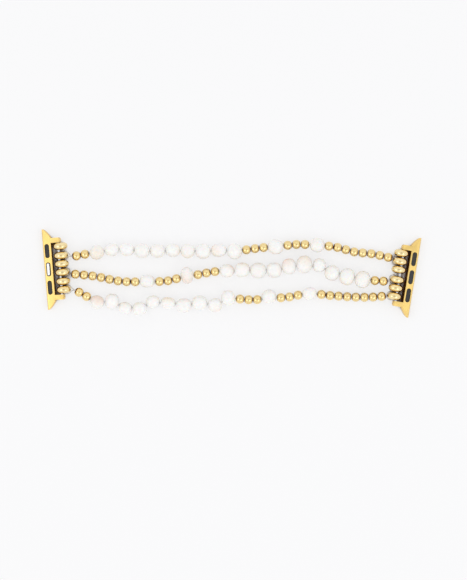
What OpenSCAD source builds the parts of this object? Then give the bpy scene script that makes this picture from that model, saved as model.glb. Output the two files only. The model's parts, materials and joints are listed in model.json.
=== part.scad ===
// Three-strand stretch strap of gold beads and pearls, with a slide-in lug end at each side.
// Millimetres. X runs along the strap, Y across it, Z up, and the strap lies on Z = 0.
// Each strand is an endless elastic loop, doubled through its beads and through one rondelle
// at each end. The six rondelles of an end sit on a steel pin between the ears of its lug.

/* [Gold beads] */
// Diameter of a round gold bead
gold_d = 3.9; // [3.6:0.1:4.1]
// Bore through every gold bead and pearl
bore_d = 1.4; // [1.3:0.05:1.5]
// Diameter of the flared mouths of a gold bead's bore
mouth_d = 1.9; // [1.6:0.05:2]
// Clear space between two gold beads, as if their mouths weren't flared
gold_gap = 0.03; // [0.02:0.01:0.1]

/* [Pearls] */
// Clear space between a pearl and the bead beside it
pearl_gap = 0.12; // [0.08:0.02:0.3]
// Height at which the pearls carry the strands above the table
line_z = 2.8; // [2.6:0.1:3]
// Step in degrees between the points of a pearl's outline
pearl_step = 12; // [9, 12, 15]

/* [Elastic] */
// Diameter of the clear elastic cord
cord_d = 0.4; // [0.35:0.05:0.5]
// Clear space left beside each leg of elastic between two rondelles
leg_play = 0.05; // [0.02:0.01:0.1]
// Clear space between the rondelles and the closest strand's first bead at the left end
left_loop_room = 0.65; // [0.3:0.05:1]
// Clear space between the rondelles and the closest strand's last bead at the right end
right_loop_room = 0.2; // [0.2:0.05:1]

/* [Rondelles] */
// Diameter of a rondelle
rondelle_d = 6.1; // [5.6:0.1:6.4]
// Width of a rondelle along the pin
rondelle_w = 3.1; // [2.6:0.1:3.2]
// How full a rondelle's rim is, where 2 is an ellipse
rondelle_fullness = 2.5; // [2:0.1:3]
// Bore of a rondelle
rondelle_bore_d = 3; // [2.8:0.1:3.2]

/* [Lug pin] */
// Diameter of the steel pin
pin_d = 1.1; // [1:0.1:1.2]
// Radial running clearance of the pin in the ears
pin_play = 0.02; // [0.01:0.01:0.05]
// Diameter of the pin's slotted head
pin_head_d = 1.5; // [1.4:0.05:1.6]
// Thickness of the pin's head
pin_head_t = 0.5; // [0.4:0.1:0.8]
// How far the pin's head lies below the ear's outer side
pin_sunk = 0.25; // [0.2:0.05:0.4]

/* [Lug end] */
// Length of a lug from tip to tip
lug_len = 34.4; // [33:0.2:36]
// Thickness of a lug
lug_t = 2.9; // [2.8:0.1:3.2]
// Depth of the bar that slides into the watch case, at its wide face
bar_depth = 3.7; // [3.6:0.1:4]
// How much shallower the bar is at its narrow face
bar_taper = 0.2; // [0.1:0.05:0.4]
// Distance from the pin to the lug's outer edge
pin_to_edge = 6.45; // [6.2:0.05:6.6]
// Play of the rondelles and their elastic between the ears
ear_play = 0.9; // [0.8:0.1:1.6]
// Thickness of an ear
ear_w = 2.1; // [1.9:0.1:2.4]
// How far an ear reaches past the pin's middle
ear_nose = 1.05; // [1:0.05:1.3]
// Rounding of an ear's outer corner
ear_corner = 0.8; // [0.4:0.1:1]
// How far the narrow face's bevel lies inside the line from a wing's tip to its ear
bevel_in = 0.3; // [0.1:0.1:0.5]
// Slope in degrees of that bevel
bevel_slope = 35; // [25:5:50]
// Angle at which a lug droops from its pin to the table
lug_droop = 14; // [12:0.5:15]

/* [Windows and lock] */
// Length of a window through the bar
window_len = 6; // [5.2:0.1:6.2]
// Width of a window
window_w = 2; // [1.8:0.1:2.1]
// Distance between the middles of two windows
window_pitch = 7.8; // [7.2:0.1:8]
// Wall between the windows and the outer edge
window_wall = 0.8; // [0.7:0.05:0.9]
// How far the pads and the lock housing lie below the lug's faces
insert_recess = 0.15; // [0.05:0.05:0.3]
// Clear space round a pad, and round the lock housing
insert_play = 0.02; // [0.01:0.01:0.04]
// Wall of the lock housing
housing_wall = 0.2; // [0.15:0.01:0.25]
// How far the lock button stands out of the lug's wide face, and travels
button_travel = 0.35; // [0.2:0.05:0.4]
// Clear space round the lock button
button_play = 0.04; // [0.03:0.01:0.06]
// Thickness of the lock's leaf spring
leaf_t = 0.12; // [0.08:0.01:0.16]

/* [Hidden] */
cut = 0.5; // how far a cutting solid runs past a face
thin = 24; // fineness of small rounds
smooth = 48; // fineness of beads

// A pearl is [length, width, drift of its middle to the side of its bore]; G is a gold bead
G = [0, 0, 0];
top_pearls = [[6.4, 6.4, -0.1], [6.3, 5.7, 0.2], [6.2, 5.5, 0.2], [6.5, 6.2, -0.1], [6.4, 5.9, 0],
  [6.3, 5.7, 0.2], [6.3, 6.2, 0], [6.5, 6.6, -0.1], [6.6, 5.5, 0.2], [6.4, 7.0, -0.4]];
middle_pearls = [[6.3, 5.7, 0], [6.6, 6.4, 0.2], [6.7, 6.6, -0.1], [6.5, 6.6, -0.4], [6.1, 7.0, 0.5],
  [6.7, 7.6, 0.8], [5.6, 5.9, 0.9], [6.3, 6.8, -0.6], [6.4, 7.4, -0.4], [6.7, 7.4, -0.3]];
bottom_pearls = [[6.1, 5.9, -0.8], [6.0, 6.8, 0.9], [5.8, 5.1, -0.8], [5.9, 5.9, -0.9], [5.9, 5.5, 0.9],
  [6.5, 4.9, 0.1], [6.6, 5.9, -0.6], [6.6, 6.2, 0.6], [6.0, 5.9, -0.9], [6.0, 6.6, 1]];
G2 = [G, G];
G3 = [G, G, G];
G8 = [for (i = [1:8]) G];
// The beads of the top, middle and bottom strand, from left to right
strands = [
  concat(G2, top_pearls, G3, [[6.5, 6.4, -0.1]], G3, [[6.4, 6.2, 0.1]], G8),
  concat(G8, [[6.5, 5.5, 0.2]], G3, [[5.5, 7.2, 0.5]], G3, middle_pearls, G2),
  concat(G2, bottom_pearls, G3, [[6.3, 5.9, 0.8]], G3, [[6.2, 5.5, 0.2]], G8)];
// Where each strand passes in Y, at the joins between its beads
strand_y = [
  [7, 7.5, 8.4, 9.4, 9.9, 9.7, 9.4, 9.4, 9.4, 9.3, 9.4, 9.4, 9.6, 10.1, 10.6,
   11, 11.5, 12, 12.2, 12, 11.6, 11.2, 10.5, 9.3, 8.6, 8.4, 7.9, 7, 6.3],
  [-0.3, -0.7, -1, -1.5, -2.3, -3.1, -3.6, -3.8, -3.7, -3.6, -3.6, -3, -1.9, -1, -0.4,
   0.4, 0.8, 1, 1.1, 1.2, 1.8, 2.8, 2.9, 1.7, -0.3, -1.9, -3, -3.4, -3.5],
  [-7.3, -9, -10.9, -12.4, -13.5, -14.7, -13.8, -12.5, -13.1, -13.2, -13.3, -12.2, -10.9, -11.2, -11.5,
   -11.1, -10.5, -10.5, -9.8, -9, -8.8, -9.4, -9.7, -9.9, -10.2, -10.3, -10.3, -10.1, -9.7]];
// How far the middle of each strand lies to the right of the others' mean
strand_x = [0.25, -0.95, -0.45];
// The beads, one for each strand, with which each later span of the strap starts
span_starts = [[3, 4, 3], [5, 7, 5], [7, 10, 7], [9, 13, 9], [11, 16, 11],
  [13, 18, 14], [16, 20, 17], [19, 22, 20], [22, 24, 23], [26, 26, 26]];
// How far the lug ends are turned from square, left and right
lug_turn = [4.6, -9.4];
// Where the pins' middles lie in Y, left and right
lug_y = [1.93, -1.03];
// The play beside the rondelles, from the top ear to the bottom one, left and right
rondelle_play = [[0.12, 0.45, 0.02, 0.06, 0.3, 0.02, 0.03], [0.08, 0.02, 0.02, 0.84, 0.01, 0.01, 0.02]];
// The rondelle that each strand loops through, counted from the top
loop_rondelle = [1, 3, 5];

count = len(strands[0]);
spans = len(span_starts) + 1;
gold_len = sqrt(pow(gold_d, 2) - pow(bore_d, 2));
bead_lift = 0.02; // gold beads all but touch the table
bead_low = gold_d / 2 + bead_lift;
pass_gap = 0.04; // clear space between the two passes of elastic in a bore
cord_aside = (cord_d + pass_gap) / 2;
bore_clear = 0.05; // clear space between a pin and the side of a rondelle's bore that it touches
pull = (rondelle_bore_d - pin_d) / 2 - bore_clear; // how far the elastic draws a rondelle over its pin
leg = cord_d + leg_play;

function is_gold(s, i) = strands[s][i][0] == 0;
function bead_len(s, i) = is_gold(s, i) ? gold_len : strands[s][i][0];
function end_join(k) = k == 0 || k == count;
function gap(s, k) = end_join(k) || (is_gold(s, k) && is_gold(s, k - 1)) ? gold_gap : pearl_gap;
function step(s, i) = bead_len(s, i) + (gap(s, i) + gap(s, i + 1)) / 2;

// A strand is carried where a pearl or a lug is next to the join, and sags between those
function carried(s, k) = end_join(k) || !is_gold(s, k) || !is_gold(s, k - 1);
function joins_away(s, k) = min([for (j = [0:count]) if (carried(s, j)) abs(j - k)]);
function sag_share(n) = n >= 3 ? 1 : 1 - pow(1 - n / 3, 2);
function join_z(s, k) = line_z - (line_z - bead_low) * sag_share(joins_away(s, k));

function step_x(s, i) = sqrt(pow(step(s, i), 2) - pow(strand_y[s][i + 1] - strand_y[s][i], 2)
  - pow(join_z(s, i + 1) - join_z(s, i), 2));
function joins_x(s) = [for (k = 0, x = 0; k <= count; x = x + (k < count ? step_x(s, k) : 0), k = k + 1) x];
function raw_joins(s) = let (xs = joins_x(s))
  [for (k = [0:count]) [xs[k] - xs[count] / 2 + strand_x[s], strand_y[s][k], join_z(s, k)]];
raw_lines = [for (s = [0:2]) raw_joins(s)];

// Lug ends: side 0 is the left one, side 1 the right one
rondelles = 6;
ear_gap = rondelles * (rondelle_w + leg) + ear_play;
function heading(side) = side == 0 ? 180 + lug_turn[0] : lug_turn[1];
function out(side) = [cos(heading(side)), sin(heading(side)), 0];
function up_pin(side) = side == 0 ? [sin(heading(0)), -cos(heading(0)), 0]
  : [-sin(heading(1)), cos(heading(1)), 0];
function play_to(side, r) = r < 0 ? 0 : rondelle_play[side][r] + play_to(side, r - 1);
// The play listed beside the rondelles is spread over what the ears leave free
function play_sum(side) = play_to(side, rondelles);
function along_pin(side, r) = ear_gap / 2 - play_to(side, r) * ear_play / play_sum(side)
  - r * leg - (r + 0.5) * rondelle_w;
function from_pin(side, r) = along_pin(side, r) * up_pin(side) - pull * out(side);
function end_x(side, s) = raw_lines[s][side == 0 ? 0 : count][0];
function pin_x(side) = side == 0
  ? min([for (s = [0:2]) end_x(0, s) - left_loop_room - rondelle_d / 2 - from_pin(0, loop_rondelle[s])[0]])
  : max([for (s = [0:2]) end_x(1, s) + right_loop_room + rondelle_d / 2 - from_pin(1, loop_rondelle[s])[0]]);
raw_pins = [for (side = [0:1]) [pin_x(side), lug_y[side], rondelle_d / 2]];
// The lug's outer edge, tilted down to the table, sets the middle of the whole strap
edge_reach = pin_to_edge * cos(lug_droop) + lug_t / 2 * sin(lug_droop);
function reach_x(side) = edge_reach * abs(out(side)[0]) + lug_len / 2 * abs(out(side)[1]);
function reach_y(side) = lug_len / 2 * abs(out(side)[0]) - edge_reach * out(side)[1] * (side == 0 ? -1 : 1);
middle = [(raw_pins[0][0] - reach_x(0) + raw_pins[1][0] + reach_x(1)) / 2,
  (raw_pins[0][1] + reach_y(0) + raw_pins[1][1] - reach_y(1)) / 2, 0];
pins = [for (p = raw_pins) p - middle];
lines = [for (line = raw_lines) [for (p = line) p - middle]];
function rondelle_at(side, r) = pins[side] + from_pin(side, r);

// Spans and the hinge lines between them
function span_start(k, s) = k == 0 ? 0 : k == spans ? count : span_starts[k - 1][s];
function hinge_joins(k) = [for (s = [0:2]) lines[s][span_start(k, s)]];

// A rondelle's rim is a superellipse, cut off where it meets the bore: [from the axis, along it]
rim_half = rondelle_w / 2 / pow(1 - pow(rondelle_bore_d / rondelle_d, rondelle_fullness), 1 / rondelle_fullness);
lip_turn = acos(pow(rondelle_bore_d / rondelle_d, rondelle_fullness / 2));
function full(v) = sign(v) * pow(abs(v), 2 / rondelle_fullness);
function rim_point(a) = [rondelle_d / 2 * full(cos(a)), rim_half * full(sin(a))];
function rim_normal(a) = let (p = 2 - 2 / rondelle_fullness)
  unit([pow(cos(a), p) / (rondelle_d / 2), pow(sin(a), p) / rim_half]);
// The elastic follows the rim at a small distance, in the rondelle's own plane: [towards strand, up pin]
cord_room = 0.07;
rim_clear = cord_d / 2 + cord_room;
function rim(a) = rim_point(a) + rim_normal(a) * rim_clear;
loop_half = [rim(20), rim(40), rim(55), rim(lip_turn),
  [rondelle_bore_d / 2 - rim_clear * 0.87, rondelle_w / 2 + rim_clear / 2],
  [rondelle_bore_d / 2 - rim_clear, rondelle_w / 3]];
function loop_point(side, s, p, leg_sign) = rondelle_at(side, loop_rondelle[s])
  - p[0] * out(side) + leg_sign * p[1] * up_pin(side);
function loop_leg(side, s, leg_sign) = [for (p = loop_half) loop_point(side, s, p, leg_sign)];
function reversed(list) = [for (i = [len(list) - 1:-1:0]) list[i]];
function unit(v) = v / norm(v);
function aside(s, k) = let (d = unit(lines[s][min(k + 1, count)] - lines[s][max(k - 1, 0)]))
  unit(cross([0, 0, 1], d));
function pass(s, leg_sign) = [for (k = [0:count]) lines[s][k] + leg_sign * cord_aside * aside(s, k)];
// The whole endless loop: over the top pass, round the right end, back and round the left end
function cord_path(s) = concat(pass(s, 1), loop_leg(1, s, 1), reversed(loop_leg(1, s, -1)),
  reversed(pass(s, -1)), loop_leg(0, s, -1), reversed(loop_leg(0, s, 1)));

cord_sides = 8;
function ring(path, i) = let (n = len(path), t = unit(path[(i + 1) % n] - path[(i + n - 1) % n]),
    side = unit(cross([0, 0, 1], t)), up = cross(t, side))
  [for (j = [0:cord_sides - 1]) path[i]
    + cord_d / 2 * (cos(360 * j / cord_sides) * side + sin(360 * j / cord_sides) * up)];
module endless_tube(path) {
  n = len(path);
  points = [for (i = [0:n - 1]) each ring(path, i)];
  function id(i, j) = (i % n) * cord_sides + j % cord_sides;
  faces = [for (i = [0:n - 1], j = [0:cord_sides - 1])
    each [[id(i, j), id(i + 1, j + 1), id(i + 1, j)], [id(i, j), id(i, j + 1), id(i + 1, j + 1)]]];
  polyhedron(points, faces, convexity = 10);
}

// Windows, pads and lock, in the lug's own frame: X outwards from the pin, Y along the bar,
// Z out of the wide face
window_x = pin_to_edge - window_wall - window_w / 2;
insert_z = lug_t / 2 - insert_recess;
housing_floor_t = 0.4;
housing_floor = -insert_z + housing_floor_t;
lip_t = 0.25;
flange_t = 0.4;
flange_play = 0.02;
flange_top = insert_z - lip_t - flange_play;
button_low = flange_top - flange_t;
cavity_w = window_w - 2 * (insert_play + housing_wall);
cavity_len = window_len - 2 * (insert_play + housing_wall);
mouth_inset = 0.36;

// Lays a piece whose axis is X between two points of a strand
module along(p, q) {
  d = q - p;
  translate((p + q) / 2) rotate([0, -atan2(d[2], norm([d[0], d[1]])), atan2(d[1], d[0])]) children();
}

module bore(length) rotate([0, 90, 0]) cylinder(d = bore_d, h = length, center = true, $fn = thin);

// The mouths of a gold bead's bore are flared at 45 degrees
mouth_z = sqrt(pow(gold_d, 2) - pow(mouth_d, 2)) / 2;
flare = (mouth_d - bore_d) / 2;
module gold_bead() color("#e6c27a") rotate([0, 90, 0]) difference() {
  sphere(d = gold_d, $fn = smooth);
  cylinder(d = bore_d, h = gold_d + cut, center = true, $fn = thin);
  for (turn = [0, 180]) rotate([turn, 0, 0]) translate([0, 0, mouth_z - flare])
    cylinder(d1 = bore_d, d2 = mouth_d + 2 * flare, h = 2 * flare, $fn = thin);
}

module pearl(size) color("#f3efe8") difference() {
  // A pearl rests on the table where it is fat enough to reach it
  translate([0, size[2], max(0, size[1] / 2 - line_z)]) rotate([0, 90, 0]) rotate_extrude($fn = smooth)
    polygon([for (a = [0:pearl_step:180]) [size[1] / 2 * sin(a), size[0] / 2 * cos(a)]]);
  bore(size[0] + cut);
}

module gold_beads(k)
  for (s = [0:2], i = [span_start(k - 1, s):span_start(k, s) - 1])
    if (is_gold(s, i)) along(lines[s][i], lines[s][i + 1]) gold_bead();

module pearls(k)
  for (s = [0:2], i = [span_start(k - 1, s):span_start(k, s) - 1])
    if (!is_gold(s, i)) along(lines[s][i], lines[s][i + 1]) pearl(strands[s][i]);

module elastic(s) color("#dfe6ea") endless_tube(cord_path(s));

module rondelle(side, r) color("#e0bb70")
  translate(rondelle_at(side, r)) rotate([0, 0, heading(side)]) rotate([90, 0, 0])
    rotate_extrude($fn = smooth) polygon([for (i = [-10:10]) rim_point(lip_turn * i / 10)]);

// Puts a piece of the lug in its place; the right lug lies with its wide face down
module at_lug(side)
  translate(pins[side]) rotate([0, 0, heading(side)]) rotate([0, lug_droop, 0])
    rotate([side == 0 ? 0 : 180, 0, 0]) children();

module at_pin(side) translate(pins[side]) rotate([0, 0, heading(side)]) rotate([-90, 0, 0]) children();

// A slot shape with round ends, long in Y
function slot_points(length, width) = let (r = width / 2, y = length / 2 - r) concat(
  [for (a = [0:15:180]) [r * cos(a), y + r * sin(a)]],
  [for (a = [180:15:360]) [r * cos(a), -y + r * sin(a)]]);
module slot(length, width, z0, z1) translate([0, 0, z0])
  linear_extrude(z1 - z0) polygon(slot_points(length, width));

// The bar's wide face seen from above: a straight outer edge, and wings that curve back to the ears
pin_reach = ear_gap / 2 + ear_w;
wing_len = lug_len / 2 - pin_reach;
wing_power = 0.68;
function wing_x(s) = pin_to_edge - bar_depth * pow(s / wing_len, wing_power);
wing_points = [for (i = [0:9]) let (s = wing_len * pow(i / 9, 1.6)) [wing_x(s), lug_len / 2 - s]];
module bar_plan() polygon(concat(wing_points, reversed([for (p = wing_points) [p[0], -p[1]]])));

// The bar's section across its length, with softened corners and an inner side that slopes
// from the wide face to the narrow one
edge_r = 0.6;
inner_r = 0.25;
narrow_depth = bar_depth - bar_taper;
function corner(x, z, r, from) = [for (a = [from:22.5:from + 90]) [x + r * cos(a), z + r * sin(a)]];
module bar_section() polygon(concat(
  corner(pin_to_edge - edge_r, lug_t / 2 - edge_r, edge_r, 0),
  corner(pin_to_edge - bar_depth + inner_r, lug_t / 2 - inner_r, inner_r, 90),
  corner(pin_to_edge - narrow_depth + inner_r, -lug_t / 2 + inner_r, inner_r, 180),
  corner(pin_to_edge - edge_r, -lug_t / 2 + edge_r, edge_r, 270)));

// The bar seen along X, with softened tips
tip_r = 0.4;
module end_outline() polygon(concat(
  corner(lug_len / 2 - tip_r, lug_t / 2 - tip_r, tip_r, 0),
  corner(-lug_len / 2 + tip_r, lug_t / 2 - tip_r, tip_r, 90),
  corner(-lug_len / 2 + tip_r, -lug_t / 2 + tip_r, tip_r, 180),
  corner(lug_len / 2 - tip_r, -lug_t / 2 + tip_r, tip_r, 270)));

// What the narrow face's bevel takes off a wing, along the line from its tip to its ear
bevel_len = norm([narrow_depth, wing_len]);
module wing_bevel() translate([pin_to_edge, lug_len / 2, -lug_t / 2])
  rotate([0, 0, atan2(-wing_len, -narrow_depth)]) translate([0, bevel_in, 0]) rotate([-bevel_slope, 0, 0])
    translate([-cut, -lug_t, -lug_t]) cube([bevel_len + cut, lug_t + cut, lug_t]);

module bar() difference() {
  intersection() {
    translate([0, 0, -lug_t / 2]) linear_extrude(lug_t) bar_plan();
    rotate([90, 0, 0]) translate([0, 0, -lug_len]) linear_extrude(2 * lug_len) bar_section();
    rotate([90, 0, 90]) linear_extrude(2 * pin_to_edge) end_outline();
  }
  wing_bevel();
  mirror([0, 1, 0]) wing_bevel();
}

// An ear is a flat tab that starts inside the bar and ends a little past the pin
ear_root = 1;
ear_end = pin_to_edge - bar_depth + ear_root;
module ear_plan() polygon(concat(
  [for (p = corner(-ear_nose + ear_corner, -pin_reach + ear_corner, ear_corner, 180)) [p[0], -p[1]]],
  [[ear_end, pin_reach], [ear_end, ear_gap / 2]],
  [for (p = corner(-ear_nose + inner_r, -ear_gap / 2 - inner_r, inner_r, 90)) [p[0], -p[1]]]));
module ear_outline() polygon(concat(
  corner(-ear_nose + inner_r, lug_t / 2 - inner_r, inner_r, 90),
  corner(-ear_nose + inner_r, -lug_t / 2 + inner_r, inner_r, 180),
  [[ear_end, -lug_t / 2], [ear_end, lug_t / 2]]));
module ear() intersection() {
  translate([0, 0, -lug_t / 2]) linear_extrude(lug_t) ear_plan();
  translate([0, pin_reach + cut, 0]) rotate([90, 0, 0]) linear_extrude(ear_w + 2 * cut) ear_outline();
}

head_play = 0.05;
head_seat_d = pin_head_d + 2 * head_play;
head_seat_t = pin_sunk + pin_head_t + head_play;
module lug(side) color("#efd491") at_lug(side) difference() {
  bar();
  for (y = [-window_pitch, 0, window_pitch])
    translate([window_x, y, 0]) slot(window_len, window_w, -lug_t, lug_t);
}

// The ears meet the bar flush. Each is a simple form by itself, so nothing fills the space between
// them, where the rondelles turn
module lug_ears(side) color("#efd491") at_lug(side) difference() {
  union() {
    ear();
    mirror([0, 1, 0]) ear();
  }
  bar();
  rotate([90, 0, 0]) cylinder(d = pin_d + 2 * pin_play, h = 2 * pin_reach + cut, center = true, $fn = thin);
  // The seat of the pin's head, in the same ear whichever way up the lug lies
  translate([0, (side == 0 ? 1 : -1) * (pin_reach - head_seat_t / 2 + cut / 2), 0]) rotate([90, 0, 0])
    cylinder(d = head_seat_d, h = head_seat_t + cut, center = true, $fn = thin);
}

pin_short = 0.3; // the pin's plain end lies this far inside the ear
pin_slot_w = 0.4;
pin_slot_t = 0.3;
module pin(side) color("#c9ccd0") at_pin(side) difference() {
  union() {
    translate([0, 0, -pin_reach + pin_short])
      cylinder(d = pin_d, h = 2 * pin_reach - pin_short - pin_sunk - pin_head_t / 2, $fn = thin);
    translate([0, 0, pin_reach - pin_sunk - pin_head_t]) cylinder(d = pin_head_d, h = pin_head_t, $fn = thin);
  }
  translate([0, 0, pin_reach - pin_sunk]) cube([pin_head_d + cut, pin_slot_w, 2 * pin_slot_t], center = true);
}

module friction_pads(side) color("#1c1c1e") at_lug(side) for (y = [-window_pitch, window_pitch])
  translate([window_x, y, 0])
    slot(window_len - 2 * insert_play, window_w - 2 * insert_play, -insert_z, insert_z);

module lock_housing(side) color("#232326") at_lug(side) translate([window_x, 0, 0]) difference() {
  slot(window_len - 2 * insert_play, window_w - 2 * insert_play, -insert_z, insert_z);
  slot(cavity_len, cavity_w, housing_floor, insert_z - lip_t);
  slot(cavity_len - mouth_inset, cavity_w - mouth_inset, housing_floor, insert_z + cut);
}

module lock_button(side) color("#d5d7da") at_lug(side) translate([window_x, 0, 0]) {
  slot(cavity_len - 2 * button_play, cavity_w - 2 * button_play, button_low, flange_top);
  slot(cavity_len - mouth_inset - 2 * button_play, cavity_w - mouth_inset - 2 * button_play,
    button_low, lug_t / 2 + button_travel);
}

// A bowed strip of spring steel between the housing's floor and the button
leaf_span = 4.4;
leaf_w = 0.7;
leaf_play = 0.02;
leaf_steps = 12;
leaf_rise = button_low - housing_floor - leaf_t - 2 * leaf_play;
function leaf_point(i, lift) = let (t = i / leaf_steps - 1 / 2)
  [leaf_span * t, housing_floor + leaf_play + lift + leaf_rise * pow(cos(180 * t), 2)];
module lock_spring(side) color("#aeb2b8") at_lug(side) translate([window_x - leaf_w / 2, 0, 0])
  rotate([90, 0, 90]) linear_extrude(leaf_w) polygon(concat(
    [for (i = [0:leaf_steps]) leaf_point(i, 0)], [for (i = [leaf_steps:-1:0]) leaf_point(i, leaf_t)]));

for (k = [1:spans]) gold_beads(k);
for (k = [1:spans - 1]) pearls(k);
elastic(0);  // top_elastic
elastic(1);  // middle_elastic
elastic(2);  // bottom_elastic
for (r = [1:rondelles]) rondelle(0, r - 1);
for (r = [1:rondelles]) rondelle(1, r - 1);
lug(0);  // left_lug
lug(1);  // right_lug
lug_ears(0);  // left_lug_ears
lug_ears(1);  // right_lug_ears
pin(0);  // left_pin
pin(1);  // right_pin
friction_pads(0);  // left_friction_pads
friction_pads(1);  // right_friction_pads
lock_housing(0);  // left_lock_housing
lock_housing(1);  // right_lock_housing
lock_button(0);  // left_lock_button
lock_button(1);  // right_lock_button
lock_spring(0);  // left_lock_spring
lock_spring(1);  // right_lock_spring
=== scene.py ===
"""Dresses the three-strand strap: polished gold beads, uneven pearls, clear elastic, satin lugs.

Tables are in millimetres, as in the part's source; meshes are in metres, in the part's own frame.
"""
import json
import math

import bmesh
import bpy
import numpy as np
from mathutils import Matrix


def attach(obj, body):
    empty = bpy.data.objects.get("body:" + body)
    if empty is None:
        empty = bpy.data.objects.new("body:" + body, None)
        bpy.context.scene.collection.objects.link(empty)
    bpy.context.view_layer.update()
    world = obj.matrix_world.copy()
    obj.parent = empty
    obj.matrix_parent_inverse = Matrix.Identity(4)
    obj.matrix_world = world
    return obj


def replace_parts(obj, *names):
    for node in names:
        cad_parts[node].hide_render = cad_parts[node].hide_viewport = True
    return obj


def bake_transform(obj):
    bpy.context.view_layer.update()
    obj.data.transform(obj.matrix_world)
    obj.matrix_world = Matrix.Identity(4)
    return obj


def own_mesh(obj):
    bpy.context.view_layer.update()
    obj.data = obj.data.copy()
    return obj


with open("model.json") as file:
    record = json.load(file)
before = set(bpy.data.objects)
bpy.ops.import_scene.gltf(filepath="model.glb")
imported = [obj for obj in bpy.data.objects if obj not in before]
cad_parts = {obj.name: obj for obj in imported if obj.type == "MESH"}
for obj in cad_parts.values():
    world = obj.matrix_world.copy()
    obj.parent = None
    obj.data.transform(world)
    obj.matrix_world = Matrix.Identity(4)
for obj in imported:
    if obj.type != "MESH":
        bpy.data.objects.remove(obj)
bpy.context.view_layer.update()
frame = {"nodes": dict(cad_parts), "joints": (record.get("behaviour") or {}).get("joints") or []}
joints = {j["name"]: j for j in frame["joints"]}
MM = 0.001

# ---------------------------------------------------------------- the strap's own sizes
GOLD_D, BORE_D, MOUTH_D, GOLD_GAP = 3.9, 1.4, 1.9, 0.03
PEARL_GAP, LINE_Z = 0.12, 2.8
CORD_D, CORD_ASIDE = 0.4, 0.22
RONDELLE_D, RONDELLE_W, RONDELLE_BORE, RONDELLE_FULLNESS = 6.1, 3.1, 3.0, 2.5
COUNT = 28  # beads and pearls in each strand
BEADS_TO_TABLE, TABLE_CLEAR = 3, 0.02  # a strand falls to the table over this many gold beads
# Each strand in order: G is a gold bead, and a pearl is (length, width, drift across its bore)
G = (0, 0, 0)
TOP_PEARLS = [(6.4, 6.4, -0.1), (6.3, 5.7, 0.2), (6.2, 5.5, 0.2), (6.5, 6.2, -0.1), (6.4, 5.9, 0),
              (6.3, 5.7, 0.2), (6.3, 6.2, 0), (6.5, 6.6, -0.1), (6.6, 5.5, 0.2), (6.4, 7.0, -0.4)]
MIDDLE_PEARLS = [(6.3, 5.7, 0), (6.6, 6.4, 0.2), (6.7, 6.6, -0.1), (6.5, 6.6, -0.4), (6.1, 7.0, 0.5),
                 (6.7, 7.6, 0.8), (5.6, 5.9, 0.9), (6.3, 6.8, -0.6), (6.4, 7.4, -0.4), (6.7, 7.4, -0.3)]
BOTTOM_PEARLS = [(6.1, 5.9, -0.8), (6.0, 6.8, 0.9), (5.8, 5.1, -0.8), (5.9, 5.9, -0.9), (5.9, 5.5, 0.9),
                 (6.5, 4.9, 0.1), (6.6, 5.9, -0.6), (6.6, 6.2, 0.6), (6.0, 5.9, -0.9), (6.0, 6.6, 1)]
STRANDS = [
    [G] * 2 + TOP_PEARLS + [G] * 3 + [(6.5, 6.4, -0.1)] + [G] * 3 + [(6.4, 6.2, 0.1)] + [G] * 8,
    [G] * 8 + [(6.5, 5.5, 0.2)] + [G] * 3 + [(5.5, 7.2, 0.5)] + [G] * 3 + MIDDLE_PEARLS + [G] * 2,
    [G] * 2 + BOTTOM_PEARLS + [G] * 3 + [(6.3, 5.9, 0.8)] + [G] * 3 + [(6.2, 5.5, 0.2)] + [G] * 8]
# Y of every join, a shift of each strand along X, and each strand's first bead in each span
STRAND_Y = [
    [7, 7.5, 8.4, 9.4, 9.9, 9.7, 9.4, 9.4, 9.4, 9.3, 9.4, 9.4, 9.6, 10.1, 10.6,
     11, 11.5, 12, 12.2, 12, 11.6, 11.2, 10.5, 9.3, 8.6, 8.4, 7.9, 7, 6.3],
    [-0.3, -0.7, -1, -1.5, -2.3, -3.1, -3.6, -3.8, -3.7, -3.6, -3.6, -3, -1.9, -1, -0.4,
     0.4, 0.8, 1, 1.1, 1.2, 1.8, 2.8, 2.9, 1.7, -0.3, -1.9, -3, -3.4, -3.5],
    [-7.3, -9, -10.9, -12.4, -13.5, -14.7, -13.8, -12.5, -13.1, -13.2, -13.3, -12.2, -10.9, -11.2,
     -11.5, -11.1, -10.5, -10.5, -9.8, -9, -8.8, -9.4, -9.7, -9.9, -10.2, -10.3, -10.3, -10.1, -9.7]]
STRAND_X = [0.25, -0.95, -0.45]
SPAN_STARTS = [[0, 0, 0], [3, 4, 3], [5, 7, 5], [7, 10, 7], [9, 13, 9], [11, 16, 11],
               [13, 18, 14], [16, 20, 17], [19, 22, 20], [22, 24, 23], [26, 26, 26], [28, 28, 28]]
SPANS = 11
LOOP_RONDELLE = [1, 3, 5]  # the rondelle, counted from 0, that each strand's loop passes round
ROOT_SPAN = 5
STRAND_NAMES = ["top", "middle", "bottom"]
SIDES = ["left", "right"]


def unit(v):
    """Each vector divided by its own length."""
    v = np.asarray(v, float)
    return v / np.linalg.norm(v, axis=-1, keepdims=True)


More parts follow.
